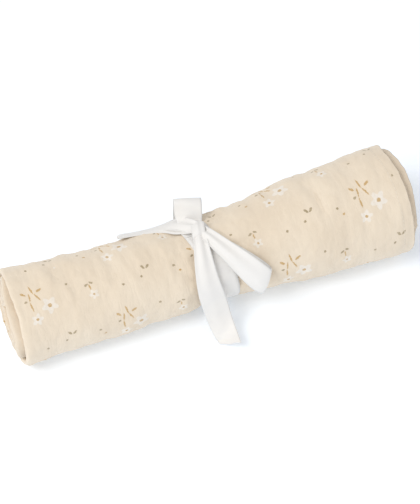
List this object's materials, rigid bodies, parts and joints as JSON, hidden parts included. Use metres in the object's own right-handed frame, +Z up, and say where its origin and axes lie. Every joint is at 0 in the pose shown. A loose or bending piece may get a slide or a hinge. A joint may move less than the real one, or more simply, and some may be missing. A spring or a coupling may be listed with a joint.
{
  "type": "swaddle blanket",
  "caption": "Muslin swaddle blanket folded and rolled into a soft cylinder, wider at one end, drawn in at the waist by a plain ribbon tied in a bow.",
  "frame": {"origin": "centre of the bounding box in plan, on the plane the roll lies on", "axes": "+X along the roll towards its wider end, +Z up, -Y towards the front where the bow's front end hangs"},
  "size_m": [0.3029, 0.1213, 0.0802],
  "materials": {
    "muslin": "soft double-gauze cotton muslin, matt, warm cream with a small printed motif",
    "ribbon": "plain white woven cotton ribbon, soft low sheen, unprinted"
  },
  "bodies": {
    "root": {"muslin_roll": "muslin", "ribbon_bow": "ribbon"}
  },
  "joints": []
}
